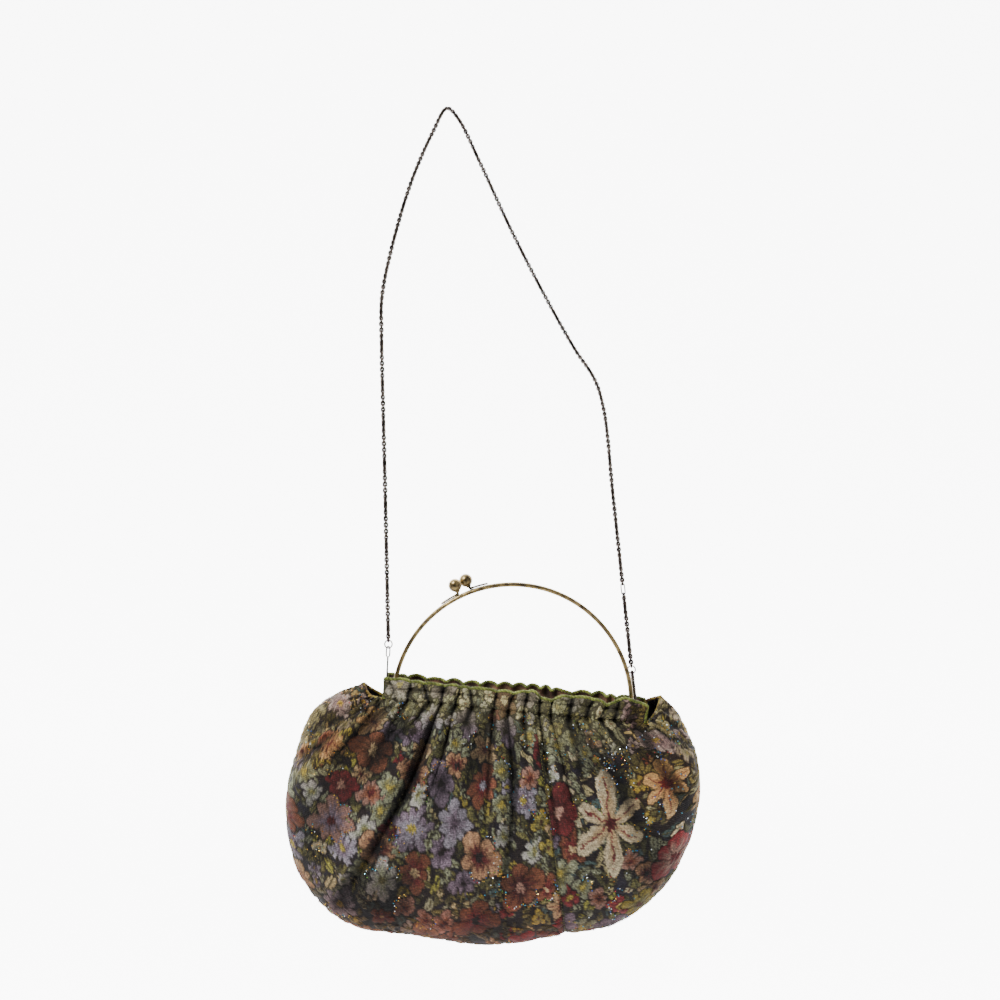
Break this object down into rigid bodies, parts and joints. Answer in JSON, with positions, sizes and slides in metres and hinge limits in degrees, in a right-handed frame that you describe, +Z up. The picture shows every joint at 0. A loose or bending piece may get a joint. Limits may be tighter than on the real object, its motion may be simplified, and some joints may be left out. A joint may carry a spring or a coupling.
{
  "type": "kiss lock purse with a shoulder chain",
  "caption": "Gathered floral tapestry purse on two half-round brass bows with a kiss lock, hung from its long shoulder chain.",
  "frame": {"origin": "underside of the chain where it lies over the shoulder", "axes": "+Z up, -Y the front of the bag, +X to the right as the front is seen"},
  "size_m": [0.3885, 0.2701, 0.8312],
  "materials": {
    "tapestry": "woven floral tapestry with seed beads",
    "piping": "twisted cord",
    "lining": "satin",
    "antique_brass": "antiqued, satin",
    "gunmetal": "antiqued dark, satin"
  },
  "bodies": {
    "root": {"front_panel": "tapestry", "back_panel": "tapestry", "piping_front": "piping", "piping_back": "piping", "lining_front": "lining", "lining_back": "lining", "bow_front": "antique_brass", "bow_back": "antique_brass", "lock_arm_front": "antique_brass", "lock_arm_back": "antique_brass", "lock_ball_front": "antique_brass", "lock_ball_back": "antique_brass", "hinge_plate_left": "antique_brass", "hinge_plate_right": "antique_brass", "hinge_rivet_left": "antique_brass", "hinge_rivet_right": "antique_brass", "clasp_left": "gunmetal", "clasp_right": "gunmetal", "chain_ring_left": "gunmetal", "chain_ring_right": "gunmetal", "chain_long": "gunmetal", "chain_short": "gunmetal", "chain_connector": "gunmetal"}
  },
  "joints": []
}
